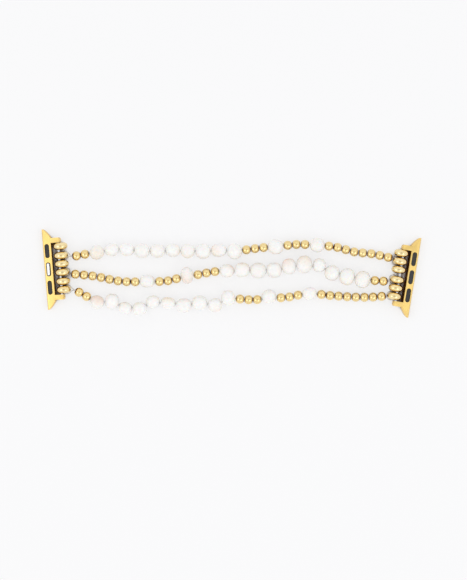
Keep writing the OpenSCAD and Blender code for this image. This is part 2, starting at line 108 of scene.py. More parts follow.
def strand_joins(s):
    """The joins between a strand's beads: X adds up the beads' lengths, Y is as strung, and Z
    falls from the pearls' height to the table over three gold beads."""
    gold = [b[0] == 0 for b in STRANDS[s]]
    gold_len = math.sqrt(GOLD_D ** 2 - BORE_D ** 2)
    end = lambda k: k in (0, COUNT)
    gap = [GOLD_GAP if end(k) or (gold[k] and gold[k - 1]) else PEARL_GAP for k in range(COUNT + 1)]
    carried = [k for k in range(COUNT + 1) if end(k) or not gold[k] or not gold[k - 1]]
    away = np.array([min(abs(j - k) for j in carried) for k in range(COUNT + 1)])
    share = 1 - (1 - np.minimum(away, BEADS_TO_TABLE) / BEADS_TO_TABLE) ** 2
    z = LINE_Z - (LINE_Z - GOLD_D / 2 - TABLE_CLEAR) * share
    y = np.array(STRAND_Y[s], float)
    length = np.array([gold_len if g else b[0] for g, b in zip(gold, STRANDS[s])])
    step = length + (np.array(gap[:-1]) + np.array(gap[1:])) / 2
    x = np.concatenate([[0], np.cumsum(np.sqrt(step ** 2 - np.diff(y) ** 2 - np.diff(z) ** 2))])
    return np.stack([x - x[-1] / 2 + STRAND_X[s], y, z], axis=1)


lines = [strand_joins(s) for s in range(3)]
# The record's bend lines pass through the middle of three joins, which places the strands
middle = np.mean([lines[s][SPAN_STARTS[6][s]] for s in range(3)], axis=0) \
    - np.array(joints["strap_bend"]["pos_m"]) / MM
middle[2] = 0
lines = [line - middle for line in lines]
outward = [np.array(joints[f"{side}_end_stretch"]["axis"], float) for side in SIDES]
up_pin = [np.array(joints[f"{side}_rondelle_1_spin"]["axis"], float) for side in SIDES]
rondelle_at = [[np.array(joints[f"{side}_rondelle_{r}_spin"]["pos_m"]) / MM for r in range(1, 7)]
               for side in SIDES]


# ---------------------------------------------------------------- surfaces
def lies_along(p, q):
    """A frame for a bead strung from p to q: its middle, and rows X along the bore, Y level, Z up."""
    x = unit(q - p)
    y = unit(np.cross([0, 0, 1], x))
    return (p + q) / 2, np.stack([x, y, np.cross(x, y)])


def closed_ring(rows):
    """A grid of rings (rows, columns, 3) joined row to row, the last to the first, as a closed
    surface whose faces point outwards: (points, quads)."""
    n, m = rows.shape[:2]
    i, j = np.meshgrid(np.arange(n), np.arange(m), indexing="ij")
    at = lambda a, b: (a % n) * m + b % m
    quads = np.stack([at(i, j), at(i + 1, j), at(i + 1, j + 1), at(i, j + 1)], axis=-1)
    return faced_out(rows.reshape(-1, 3), quads.reshape(-1, 4))


def faced_out(points, quads):
    """Turns every quad round if the solid's signed volume, the sum of its corner products, is
    below 0."""
    a, b, c, d = (points[quads[:, k]] for k in range(4))
    product = lambda p, q, r: np.einsum("ij,ij->i", p, np.cross(q, r)).sum()
    volume = product(a, b, c) + product(a, c, d)
    return points, (quads[:, ::-1] if volume < 0 else quads)


TUBE_SIDES, TIP, SHOULDER = 12, 0.02, 0.7  # the last two are shares of the radius at a cord's ends


def capped_tube(path, radius):
    """A round cord: a circle carried along a path, square to it, closed at both ends by two
    smaller rings."""
    path = np.asarray(path, float)
    t = unit(np.gradient(path, axis=0))
    side = unit(np.cross([0, 0, 1], t))
    up = np.cross(t, side)
    grow = np.concatenate([[TIP, SHOULDER], np.ones(len(path)), [SHOULDER, TIP]])
    path, side, up = (np.concatenate([a[:1], a[:1], a, a[-1:], a[-1:]]) for a in (path, side, up))
    turn = np.linspace(0, 2 * np.pi, TUBE_SIDES, endpoint=False)
    rows = path[:, None] + radius * grow[:, None, None] * (
        np.cos(turn)[None, :, None] * side[:, None] + np.sin(turn)[None, :, None] * up[:, None])
    n, m = rows.shape[:2]
    i, j = np.meshgrid(np.arange(n - 1), np.arange(m), indexing="ij")
    quads = np.stack([i * m + j, (i + 1) * m + j, (i + 1) * m + (j + 1) % m, i * m + (j + 1) % m],
                     axis=-1).reshape(-1, 4)
    k = np.arange(1, m // 2)
    first = np.stack([k - 1, k, m - 1 - k, m - k], axis=-1) % m  # across the first tiny ring
    last = first[:, ::-1] + (n - 1) * m
    return faced_out(rows.reshape(-1, 3), np.concatenate([quads, first, last]))


CURVE_READS = 24  # points read on each stretch of a curve before it is read at even steps


def smooth_path(points, step):
    """A Catmull-Rom curve through the points, read at even steps of about that length."""
    p = np.asarray(points, float)
    p = np.concatenate([2 * p[:1] - p[1:2], p, 2 * p[-1:] - p[-2:-1]])
    t = np.linspace(0, 1, CURVE_READS, endpoint=False)[:, None, None]
    a, b, c, d = p[:-3], p[1:-2], p[2:-1], p[3:]
    curve = 0.5 * (2 * b + (c - a) * t + (2 * a - 5 * b + 4 * c - d) * t ** 2
                   + (3 * b - a - 3 * c + d) * t ** 3)
    curve = np.concatenate([curve.transpose(1, 0, 2).reshape(-1, 3), p[-2:-1]])
    run = np.concatenate([[0], np.cumsum(np.linalg.norm(np.diff(curve, axis=0), axis=1))])
    read = np.linspace(0, run[-1], max(3, int(run[-1] / step) + 1))
    return np.stack([np.interp(read, run, curve[:, k]) for k in range(3)], axis=1)


def turned(profile, axes, centre, sides):
    """A lathe form: profile rows of (along, out) turned round the first axis."""
    turn = np.linspace(0, 2 * np.pi, sides, endpoint=False)
    along, out = profile[:, :1], profile[:, 1:]
    rows = along[..., None] * axes[0] + out[..., None] * (
        np.cos(turn)[None, :, None] * axes[1] + np.sin(turn)[None, :, None] * axes[2])
    return closed_ring(centre + rows)


LIP_W = 0.05  # how far outside its mouth a gold bead's ball gives way to the lip


def gold_bead_profile():
    """A ball with its bore: an arc of the ball, a rounded lip, the flare and the straight bore."""
    r, mouth, bore = GOLD_D / 2, MOUTH_D / 2, BORE_D / 2
    start = math.asin((mouth + LIP_W) / r)
    a = np.linspace(start, math.pi - start, 31)
    arc = np.stack([r * np.cos(a), r * np.sin(a)], axis=1)
    x = math.sqrt(r ** 2 - mouth ** 2)
    # The lip's crest and inner side, and the start and end of the flare, as (along, out)
    lip = np.array([[x + 0.005, mouth + 0.01], [x - 0.03, mouth - 0.045],
                    [x - 0.22, bore + 0.03], [x - 0.32, bore]])
    return np.concatenate([arc, lip * [-1, 1], [[0, bore]], lip[::-1]])


# The rim is a whole superellipse, cut off by the bore: its half width, and where the cut falls
CUT = (RONDELLE_BORE / RONDELLE_D) ** RONDELLE_FULLNESS
RIM_HALF = RONDELLE_W / 2 / (1 - CUT) ** (1 / RONDELLE_FULLNESS)
LIP_TURN = math.acos((RONDELLE_BORE / RONDELLE_D) ** (RONDELLE_FULLNESS / 2))
LIP_ROUND = 0.035  # radians of the rim that the rounded lip takes the place of


def rim_points(a, clear=0.0):
    """Points of a rondelle's rim, the superellipse |out/R|^n + |along/H|^n = 1, moved out along
    its normal by some clearance: rows of (out, along)."""
    n, radius = RONDELLE_FULLNESS, RONDELLE_D / 2
    full = lambda v, power: np.sign(v) * np.abs(v) ** power
    c, s = np.cos(a), np.sin(a)
    normal = unit(np.stack([full(c, 2 - 2 / n) / radius, full(s, 2 - 2 / n) / RIM_HALF], axis=-1))
    return np.stack([radius * full(c, 2 / n), RIM_HALF * full(s, 2 / n)], axis=-1) + normal * clear


def rondelle_profile():
    """A saucer bead: the rim's superellipse, a rounded lip at each side and the straight bore."""
    bore, half = RONDELLE_BORE / 2, RONDELLE_W / 2
    arc = rim_points(np.linspace(1, -1, 41) * (LIP_TURN - LIP_ROUND))[:, ::-1]
    lip = np.array([[-half, bore + 0.06], [-half + 0.03, bore + 0.015], [-half + 0.12, bore]])
    return np.concatenate([arc, lip, [[0, bore]], lip[::-1] * [-1, 1]])


PEARL_ROWS, PEARL_SIDES, PEARL_REACH, HALVINGS = 30, 40, 9.0, 30
BORE_END, BORE_LIP, LIP_IN = 0.44, 1.04, 0.985  # shares of the length, the bore and the lip's place


def pearl_surface(size, square, lumps):
    """An uneven pearl round its bore. Rays leave the middle of the bore and stop where the
    rounded-square form, |x/a|^m + |y/b|^m + |z/c|^m = 1 about the pearl's own middle, is met,
    moved in or out by its lumps, which fade as exp(k (cos - 1)). The bore is a tube through it.
    Returns the rings of points, in millimetres, and each ring point's direction from the middle."""
    length, width, drift = size
    half = np.array([length, width, width]) / 2
    centre = np.array([0, drift, max(0, width / 2 - LINE_Z)])
    start = 1.25 * math.asin(min(0.5, BORE_D / length))
    polar = np.linspace(start, math.pi - start, PEARL_ROWS)[:, None]
    turn = np.linspace(0, 2 * np.pi, PEARL_SIDES, endpoint=False)[None, :]
    rays = np.stack([np.cos(polar) + 0 * turn, np.sin(polar) * np.cos(turn),
                     np.sin(polar) * np.sin(turn)], axis=-1)

    def beyond(t):
        q = (rays * t[..., None] - centre) / half
        n = q / np.maximum(np.linalg.norm(q, axis=-1, keepdims=True), 1e-9)
        swell = 1 + sum(a * np.exp(k * (n @ d - 1)) for a, k, d in lumps)
        ends = np.clip((np.abs(n[..., 0]) - 0.75) / 0.2, 0, 1)
        swell = np.where(swell > 1, 1 + (swell - 1) * (1 - ends), swell)
        return (np.abs(q) ** square).sum(-1) ** (1 / square) > swell

    near, far = np.zeros(rays.shape[:2]), np.full(rays.shape[:2], PEARL_REACH)
    for _ in range(HALVINGS):
        mid = (near + far) / 2
        out = beyond(mid)
        near, far = np.where(out, near, mid), np.where(out, mid, far)
    outer = rays * near[..., None]
    bore = BORE_D / 2
    ring = np.stack([0 * turn, bore * np.cos(turn), bore * np.sin(turn)], axis=-1)

    def lip(row):
        along = np.stack([row[:, 0] * LIP_IN, 0 * row[:, 0], 0 * row[:, 0]], axis=-1)
        return ring * BORE_LIP + along[None]

    bore_end = [length * BORE_END, 0, 0]
    tube = [lip(outer[-1]), ring - bore_end, ring, ring + bore_end, lip(outer[0])]
    rings = np.concatenate([outer] + tube)
    return rings, unit((rings - centre) / half)


# ---------------------------------------------------------------- meshes
def make_piece(name, parts, finish, body=None, tints=None):
    """One mesh from several closed surfaces in millimetres, smooth shaded, in its place, with each
    point's tint where the finish reads one."""
    starts = np.cumsum([0] + [len(p) for p, _ in parts[:-1]])
    points = np.concatenate([p for p, _ in parts]) * MM
    quads = np.concatenate([f + s for (_, f), s in zip(parts, starts)])
    mesh = bpy.data.meshes.new(name)
    mesh.vertices.add(len(points))
    mesh.vertices.foreach_set("co", points.astype(np.float32).ravel())
    mesh.loops.add(quads.size)
    mesh.loops.foreach_set("vertex_index", quads.astype(np.int32).ravel())
    mesh.polygons.add(len(quads))
    mesh.polygons.foreach_set("loop_start", (np.arange(len(quads)) * 4).astype(np.int32))
    mesh.polygons.foreach_set("use_smooth", np.ones(len(quads), bool))
    mesh.update(calc_edges=True)
    if tints is not None:
        colours = mesh.attributes.new("tint", "FLOAT_COLOR", "POINT")
        colours.data.foreach_set("color", np.concatenate(tints).astype(np.float32).ravel())
    mesh.validate()
    obj = bpy.data.objects.new(name, mesh)
    bpy.context.scene.collection.objects.link(obj)
    mesh.materials.append(finish)
    if body:
        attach(obj, body)
    return obj


def merged(mesh):
    """Welds a mesh's points, joins its flat faces and turns them outwards, in place."""
    shape = bmesh.new()
    shape.from_mesh(mesh)
    bmesh.ops.remove_doubles(shape, verts=shape.verts, dist=2e-7)
    bmesh.ops.dissolve_limit(shape, angle_limit=math.radians(0.5), verts=shape.verts,
                             edges=shape.edges)
    bmesh.ops.recalc_face_normals(shape, faces=shape.faces)
    shape.to_mesh(mesh)
    shape.free()
    if "custom_normal" in mesh.attributes:
        mesh.attributes.remove(mesh.attributes["custom_normal"])


def joined(obj, node):
    """Makes a copy of a node's mesh one solid with a second node that meets it flush."""
    other = bpy.data.objects.new("flush piece", frame["nodes"][node].data.copy())
    bpy.context.scene.collection.objects.link(other)
    merged(other.data)
    union = obj.modifiers.new("union", "BOOLEAN")
    union.operation, union.solver, union.object = "UNION", "EXACT", other
    evaluated = obj.evaluated_get(bpy.context.evaluated_depsgraph_get())
    obj.data = bpy.data.meshes.new_from_object(evaluated)
    obj.modifiers.clear()
    bpy.data.objects.remove(other)
    merged(obj.data)
    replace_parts(obj, node)


def eased_copy(node, name, finish, body, width, segments=3, tint=None, flush=None):
    """A hard piece with its sharp edges eased: the node's own shape, merged, with a small bevel,
    or with flat faces where the width is 0.
    A finish that reads a tint gets one for each face from its centre, in mm, and its normal."""
    obj = bpy.data.objects.new(name, frame["nodes"][node].data.copy())
    bpy.context.scene.collection.objects.link(obj)
    merged(obj.data)
    if flush:
        joined(obj, flush)
    obj.data.materials.clear()
    obj.data.materials.append(finish)
    obj.data.shade_smooth()
    if tint:
        colours = obj.data.attributes.new("tint", "FLOAT_COLOR", "FACE")
        values = [(*tint(np.array(face.center) / MM, np.array(face.normal)), 1)
                  for face in obj.data.polygons]
        colours.data.foreach_set("color", np.array(values, np.float32).ravel())
    if width:
        bevel = obj.modifiers.new("eased edges", "BEVEL")
        bevel.width, bevel.segments, bevel.limit_method = width * MM, segments, "ANGLE"
        bevel.angle_limit, bevel.harden_normals = math.radians(35), True
    else:
        obj.data.shade_flat()
    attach(obj, body)
    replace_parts(obj, node)
    return obj


# ---------------------------------------------------------------- finishes
def new_finish(name, **sockets):
    """A Principled surface with these values on its own sockets: (material, nodes, links, shader)."""
    finish = bpy.data.materials.new(name)
    finish.use_nodes = True
    tree = finish.node_tree
    shader = tree.nodes["Principled BSDF"]
    for socket, value in sockets.items():
        shader.inputs[socket.replace("_", " ")].default_value = value
    return finish, tree.nodes, tree.links, shader


def add_noise(nodes, links, scale, detail, stretch=None):
    """Noise on Object coordinates; the scale is in cycles per metre."""
    coordinates = nodes.new("ShaderNodeTexCoord")
    texture = nodes.new("ShaderNodeTexNoise")
    texture.inputs["Scale"].default_value = scale
    texture.inputs["Detail"].default_value = detail
    source = coordinates.outputs["Object"]
    if stretch:
        mapping = nodes.new("ShaderNodeMapping")
        mapping.inputs["Scale"].default_value = stretch
        links.new(source, mapping.inputs["Vector"])
        source = mapping.outputs["Vector"]
    links.new(source, texture.inputs["Vector"])
    return texture.outputs["Fac"]


def add_ramp(nodes, links, source, low, high, start=0.3, end=0.7):
    """A value or colour between low and high as the source goes from start to end."""
    ramp = nodes.new("ShaderNodeValToRGB")
    ramp.color_ramp.elements[0].position, ramp.color_ramp.elements[1].position = start, end
    for element, value in zip(ramp.color_ramp.elements, (low, high)):
        element.color = (*value, 1) if hasattr(value, "__len__") else (value, value, value, 1)
    links.new(source, ramp.inputs["Fac"])
    return ramp.outputs["Color"]


def add_bump(nodes, links, shader, source, depth, strength):
    """Fine relief of that depth in metres."""
    bump = nodes.new("ShaderNodeBump")
    bump.inputs["Distance"].default_value = depth
    bump.inputs["Strength"].default_value = strength
    links.new(source, bump.inputs["Height"])
    links.new(bump.outputs["Normal"], shader.inputs["Normal"])


def tinted(nodes, links, colour):
    """A colour multiplied by the tint that each point of the piece carries: (result, tint)."""
    tint, mix = nodes.new("ShaderNodeAttribute"), nodes.new("ShaderNodeMix")
    tint.attribute_name = "tint"
    mix.data_type, mix.blend_type = "RGBA", "MULTIPLY"
    mix.inputs["Factor"].default_value = 1.0
    links.new(tint.outputs["Color"], mix.inputs["A"])
    links.new(colour, mix.inputs["B"])
    return mix.outputs["Result"], tint.outputs["Color"]


def polished_gold(name, light, deep, smooth, rough):
    """Plated beads: gold that varies a little from bead to bead, with painted shade, a dark brown, at
    the drilled mouths where the beads meet, and faint handling marks."""
    finish, nodes, links, shader = new_finish(name, Metallic=1.0)
    plating = add_ramp(nodes, links, add_noise(nodes, links, 260, 3), deep, light, 0.35, 0.65)
    # The tint is painted shade at the mouths: it darkens both the base colour and the specular tint
    # there
    mouth_shaded, tint = tinted(nodes, links, plating)
    links.new(mouth_shaded, shader.inputs["Base Color"])
    links.new(tint, shader.inputs["Specular Tint"])
    marks = add_ramp(nodes, links, add_noise(nodes, links, 2200, 4), smooth, rough)
    links.new(marks, shader.inputs["Roughness"])
    add_bump(nodes, links, shader, add_noise(nodes, links, 9000, 2), 0.000004, 0.5)
    return finish


def satin_gold(name):
    """The lug ends' plating: even and satin, with a very fine grain along the bar, and painted shade, a
    dark brown, on the wall that faces the beads."""
    finish, nodes, links, shader = new_finish(name, Metallic=1.0)
    plating = add_ramp(nodes, links, add_noise(nodes, links, 300, 3),
                       (0.95, 0.675, 0.225), (0.97, 0.70, 0.25))
    # The tint carries the painted shade on the wall that faces the beads
    links.new(tinted(nodes, links, plating)[0], shader.inputs["Base Color"])
    grain = add_noise(nodes, links, 9000, 3, stretch=(1, 0.12, 1))
    links.new(add_ramp(nodes, links, grain, 0.3, 0.4), shader.inputs["Roughness"])
    add_bump(nodes, links, shader, grain, 0.000006, 0.5)
    return finish


def pearl_nacre():
    """Nacre: each pearl's own tint, clouded a little, under a soft clear lustre."""
    finish, nodes, links, shader = new_finish(
        "pearl nacre", Roughness=0.3, IOR=1.5, Coat_Weight=0.25, Coat_Roughness=0.16, Coat_IOR=1.5,
        Subsurface_Weight=0.4, Subsurface_Scale=0.0015)
    shader.inputs["Subsurface Radius"].default_value = (1.0, 0.75, 0.6)
    cloud = add_ramp(nodes, links, add_noise(nodes, links, 380, 4),
                     (0.985, 0.98, 0.97), (1, 1, 1), 0.35, 0.6)
    links.new(tinted(nodes, links, cloud)[0], shader.inputs["Base Color"])
    lustre = add_ramp(nodes, links, add_noise(nodes, links, 900, 4), 0.22, 0.38)
    links.new(lustre, shader.inputs["Roughness"])
    relief = add_noise(nodes, links, 1900, 2, stretch=(1.0, 0.6, 0.6))
    add_bump(nodes, links, shader, relief, 0.000015, 0.25)
    return finish


def clear_elastic():
    """Clear stretch cord: nearly all see-through, with soft marks where it rubs."""
    finish, nodes, links, shader = new_finish("clear elastic", IOR=1.27, Transmission_Weight=0.96)
    shader.inputs["Base Color"].default_value = (0.96, 0.97, 0.98, 1)
    rubbed = add_ramp(nodes, links, add_noise(nodes, links, 1500, 2), 0.06, 0.14)
    links.new(rubbed, shader.inputs["Roughness"])
    return finish


def moulded(name, dark, pale, low, high, grain, depth):
    """Moulded rubber or plastic: one dark colour, clouded a little, with a fine matt grain."""
    finish, nodes, links, shader = new_finish(name)
    colour = add_ramp(nodes, links, add_noise(nodes, links, 900, 3), dark, pale)
    links.new(colour, shader.inputs["Base Color"])
    fine = add_noise(nodes, links, grain, 2)
    links.new(add_ramp(nodes, links, fine, low, high), shader.inputs["Roughness"])
    add_bump(nodes, links, shader, fine, depth, 0.6)
    return finish


def steel(name, colour, low, high):
    """Turned or pressed steel: fine lines one way, and roughness that follows them."""
    finish, nodes, links, shader = new_finish(name, Metallic=1.0)
    lines_across = add_noise(nodes, links, 7000, 3, stretch=(1, 0.1, 1))
    lined = add_ramp(nodes, links, lines_across, [c * 0.93 for c in colour], colour)
    links.new(lined, shader.inputs["Base Color"])
    links.new(add_ramp(nodes, links, lines_across, low, high), shader.inputs["Roughness"])
    add_bump(nodes, links, shader, lines_across, 0.000003, 0.5)
    return finish


bead_gold = polished_gold("bead gold", light=(0.95, 0.755, 0.375), deep=(0.93, 0.71, 0.325),
                          smooth=0.14, rough=0.22)
rondelle_gold = polished_gold("rondelle gold", light=(0.98, 0.81, 0.455), deep=(0.96, 0.77, 0.40),
                              smooth=0.13, rough=0.2)
lug_gold = satin_gold("lug gold")
nacre = pearl_nacre()
elastic_clear = clear_elastic()
pad_rubber = moulded("pad rubber", (0.022, 0.02, 0.018), (0.034, 0.031, 0.028),
                     low=0.5, high=0.65, grain=12000, depth=0.00001)
housing_plastic = moulded("housing plastic", (0.02, 0.02, 0.021), (0.03, 0.03, 0.031),
                          low=0.35, high=0.5, grain=6000, depth=0.000005)
pin_steel = steel("pin steel", (0.78, 0.78, 0.79), low=0.12, high=0.24)
button_steel = steel("button steel", (0.86, 0.86, 0.86), low=0.25, high=0.36)
spring_steel = steel("spring steel", (0.62, 0.63, 0.66), low=0.2, high=0.3)

# ---------------------------------------------------------------- gold beads and rondelles
BEAD_PROFILE, SAUCER = gold_bead_profile(), rondelle_profile()
BEAD_SIDES, SAUCER_SIDES = 40, 56
# Painted shade for the mouths of gold beads and rondelles: a dark brown that stands in for the crease
# where they meet
MOUTH_PAINTED_SHADE = (0.26, 0.12, 0.012)
BESIDE_PEARL = 0.3  # how much of the painted shade a bead's mouth has when it faces a pearl


def mouth_painted_shade(profile, sides, inner, outer, ends=(1, 1)):
    """Clear on the round of a bead and painted shade, a dark brown, at its mouths, between two
    distances from the bore's axis, by the smooth step t^2 (3 - 2t), times a share for the end behind
    and the end ahead."""
    t = np.clip((outer - profile[:, 1]) / (outer - inner), 0, 1)
    t = (t * t * (3 - 2 * t) * np.where(profile[:, 0] < 0, *ends))[:, None]
    return np.repeat(np.append(1 + (np.array(MOUTH_PAINTED_SHADE) - 1) * t, 1 + 0 * t, axis=1), sides, axis=0)


for k in range(SPANS):
    golds = [(s, i) for s in range(3) for i in range(SPAN_STARTS[k][s], SPAN_STARTS[k + 1][s])
             if STRANDS[s][i] == G]
    beads = [turned(BEAD_PROFILE, axes, centre, BEAD_SIDES)
             for s, i in golds for centre, axes in [lies_along(lines[s][i], lines[s][i + 1])]]
    facing = lambda s, j: 1 if STRANDS[s][min(max(j, 0), COUNT - 1)] == G else BESIDE_PEARL
    tints = [mouth_painted_shade(BEAD_PROFILE, BEAD_SIDES, 1.15, 1.48, [facing(s, i - 1), facing(s, i + 1)])
             for s, i in golds]
    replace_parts(make_piece(f"polished_beads_{k + 1}", beads, bead_gold,
                           f"span_{k + 1}", tints), f"gold_beads_{k + 1}")
for side, name in enumerate(SIDES):
    for r in range(6):
        axes = np.stack([up_pin[side], outward[side], np.cross(up_pin[side], outward[side])])
        saucer = turned(SAUCER, axes, rondelle_at[side][r], SAUCER_SIDES)
        # Each saucer's flanks near the bore get painted shade, the same dark brown as the beads' mouths
        rondelle = make_piece(f"{name}_saucer_bead_{r + 1}", [saucer], rondelle_gold,
                              f"{name}_rondelle_{r + 1}",
                              [mouth_painted_shade(SAUCER, SAUCER_SIDES, 1.5, 1.75)])
        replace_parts(rondelle, f"{name}_rondelle_{r + 1}")

# ---------------------------------------------------------------- pearls
WHITE, PEACH = (0.965, 0.955, 0.93), (0.94, 0.81, 0.68)
ROSE, GREEN = (0.92, 0.72, 0.62), (0.92, 0.945, 0.90)
# Blushes that show: (strand, bead): (colour, strength, direction of the blush [along, across, up])
BLUSHES = {
    (0, 2): (PEACH, 0.55, (0.1, -0.3, 0.6)), (0, 10): (PEACH, 0.6, (-0.9, -0.2, 0.3)),
    (0, 8): (PEACH, 0.35, (-0.2, -0.9, 0.2)), (0, 15): (PEACH, 0.3, (-0.7, -0.6, 0)),
    (0, 7): (PEACH, 0.3, (0.9, -0.2, 0)), (0, 6): (PEACH, 0.3, (-0.2, -0.9, 0)),
    (1, 12): (ROSE, 0.45, (-0.2, -0.6, 0.4)), (1, 16): (ROSE, 0.4, (0.8, 0.7, 0)),
    (1, 17): (PEACH, 0.4, (0.5, 0.8, 0)), (1, 20): (ROSE, 0.5, (-0.2, 0.5, 0.2)),
    (1, 21): (PEACH, 0.6, (0.2, 0.9, 0.2)), (1, 23): (PEACH, 0.35, (-0.9, 0, 0)),
    (1, 24): (PEACH, 0.35, (0.1, -0.9, 0)), (1, 25): (PEACH, 0.4, (-0.5, 0.7, 0)),
    (2, 2): (ROSE, 0.72, (0, 0.75, 0.6)), (2, 4): (PEACH, 0.35, (-0.6, 0.6, 0)),
    (2, 5): (PEACH, 0.35, (-0.7, 0.5, 0)), (2, 7): (PEACH, 0.7, (-0.2, 0.95, 0.1)),
    (2, 10): (PEACH, 0.35, (0.2, -0.9, 0)), (2, 3): (GREEN, 0.3, (0.6, 0.4, 0)),
    (2, 8): (GREEN, 0.35, (0.2, -0.5, 0.5)), (0, 9): (GREEN, 0.3, (0.2, -0.2, 0.7))}


def pearl_tints(way, s, i, chance):
    """A pearl's colour: white with painted shade, a faint warm darkening from the top down to its sides
    and underside, and its own blush, which grows as the surface turns towards the blush's direction. A
    pearl without one of its own draws a faint one, and the draws are made for every pearl."""
    drawn = (PEACH, chance.uniform(0.08, 0.25), chance.normal(size=3))
    colour, strength, towards = BLUSHES.get((s, i), drawn)
    blush = strength * np.clip((way @ unit(towards) + 0.15) / 1.05, 0, 1) ** 1.3
    # Painted shade: warm and a little darker from the top of the pearl down to its sides, full below
    # the middle
    edge = 0.28 * np.clip(1 - way[..., 2], 0, 1) ** 1.5
    base = np.array(WHITE) * chance.uniform(0.985, 1.01)
    tint = base + (np.array(PEACH) - base) * edge[..., None]
    tint = tint + (np.array(colour) - tint) * blush[..., None]
    opaque = np.ones(tint.shape[:-1] + (1,))
    return np.concatenate([np.clip(tint, 0, 1), opaque], axis=-1).reshape(-1, 4)


def pearl_lumps(chance):
    """Five broad swellings or dents and three small ones, each (height, sharpness, direction)."""
    draw = lambda low, high, dull, sharp: (
        chance.uniform(low, high), chance.uniform(dull, sharp), unit(chance.normal(size=3)))
    broad = [draw(-0.07, 0.03, 2.5, 6) for _ in range(5)]
    return broad + [draw(-0.035, 0.012, 14, 30) for _ in range(3)]


for k in range(SPANS - 1):
    parts, tints = [], []
    for s in range(3):
        for i in range(SPAN_STARTS[k][s], SPAN_STARTS[k + 1][s]):
            if STRANDS[s][i] == G:
                continue
            chance = np.random.default_rng(100 * s + i)
            centre, axes = lies_along(lines[s][i], lines[s][i + 1])
            square = chance.uniform(2.05, 2.4)
            rings, way = pearl_surface(STRANDS[s][i], square, pearl_lumps(chance))
            placed = centre + rings @ axes
            placed[..., 2] = np.maximum(placed[..., 2], 0)  # it lies on the table
            parts.append(closed_ring(placed))
            tints.append(pearl_tints(way, s, i, chance))
    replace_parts(make_piece(f"nacre_pearls_{k + 1}", parts, nacre, f"span_{k + 1}", tints),
                f"pearls_{k + 1}")


# ---------------------------------------------------------------- elastic
RUN_STEP, BEND_STEP, LOOP_STEP = 0.4, 0.16, 0.12  # mm between a cord's rings


def legs(s):
    """The two passes of a strand's elastic, side by side through the bores, at every join."""
    k = np.arange(COUNT + 1)
    ahead = lines[s][np.minimum(k + 1, COUNT)] - lines[s][np.maximum(k - 1, 0)]
    aside = unit(np.cross([0, 0, 1], ahead))
    return [lines[s] + sign * CORD_ASIDE * aside for sign in (1, -1)]


def end_loop(side, s):
    """One side of the loop round a rondelle, from the strand into the rondelle's bore, for the
    leg above and the leg below: it follows the rondelle's rim a little outside it."""
    clear = CORD_D / 2 + 0.07
    rim = rim_points(np.append(np.radians([20, 40, 55]), LIP_TURN), clear)
    inside = [[RONDELLE_BORE / 2 - clear * 0.87, RONDELLE_W / 2 + clear / 2],
              [RONDELLE_BORE / 2 - clear, RONDELLE_W / 3]]
    route = np.concatenate([rim, inside])
    at = rondelle_at[side][LOOP_RONDELLE[s]]
    return [at - route[:, :1] * outward[side] + sign * route[:, 1:] * up_pin[side]
            for sign in (1, -1)]


def cords(name, paths, step, body=None):
    """One mesh of clear elastic along several paths."""
    tubes = [capped_tube(smooth_path(path, step), CORD_D / 2) for path in paths]
    return make_piece(name, tubes, elastic_clear, body)


middle_of = lambda leg, i: (leg[i] + leg[i + 1]) / 2
for s, strand in enumerate(STRAND_NAMES):
    both = legs(s)
    for k in range(SPANS):
        first, last = SPAN_STARTS[k][s], SPAN_STARTS[k + 1][s] - 1
        if last > first:
            runs = [np.concatenate([[middle_of(leg, first)], leg[first + 1:last + 1],
                                    [middle_of(leg, last)]]) for leg in both]
            run = cords(f"{strand}_elastic_run_{k + 1}", runs, RUN_STEP, f"span_{k + 1}")
            if k == ROOT_SPAN:
                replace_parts(run, f"{strand}_elastic")
        if k < SPANS - 1:
            j = last + 1
            bends = [np.stack([middle_of(leg, j - 1), leg[j], middle_of(leg, j)]) for leg in both]
            bend = cords(f"{strand}_elastic_bend_{k + 1}", bends, BEND_STEP)
            way = unit(lines[s][j + 1] - lines[s][j - 1])
            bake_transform(bend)
    for side, name in enumerate(SIDES):
        i, end = (0, 0) if side == 0 else (COUNT - 1, COUNT)
        above, below = end_loop(side, s)
        lead = [np.stack([middle_of(leg, i), leg[end]]) for leg in both]
        # The upper leg of the loop joins the pass that lies on its own side of the strand
        route = np.concatenate([lead[0], above, below[::-1], lead[1][::-1]])
        loop = cords(f"{strand}_{name}_elastic_loop", [route], LOOP_STEP)
        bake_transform(loop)

# ---------------------------------------------------------------- lug ends
# Painted shade for the lug's wall that faces the pin, and the gap between the ears in mm
WALL_PAINTED_SHADE, EAR_GAP = (0.30, 0.17, 0.07), 22.2
FACING, EDGE_MARGIN = -0.7, 0.3  # how squarely the wall faces the pin, and mm kept off the ears


def wall_painted_shade(side):
    """Painted shade, a dark brown, on the lug's wall between the ears that faces the pin, and clear on
    every other face.
    """
    pin = np.mean(rondelle_at[side], axis=0)
    reach = EAR_GAP / 2 - EDGE_MARGIN

    def tint(at, normal):
        inner = normal @ outward[side] < FACING and abs((at - pin) @ up_pin[side]) < reach
        return WALL_PAINTED_SHADE if inner else (1, 1, 1)

    return tint


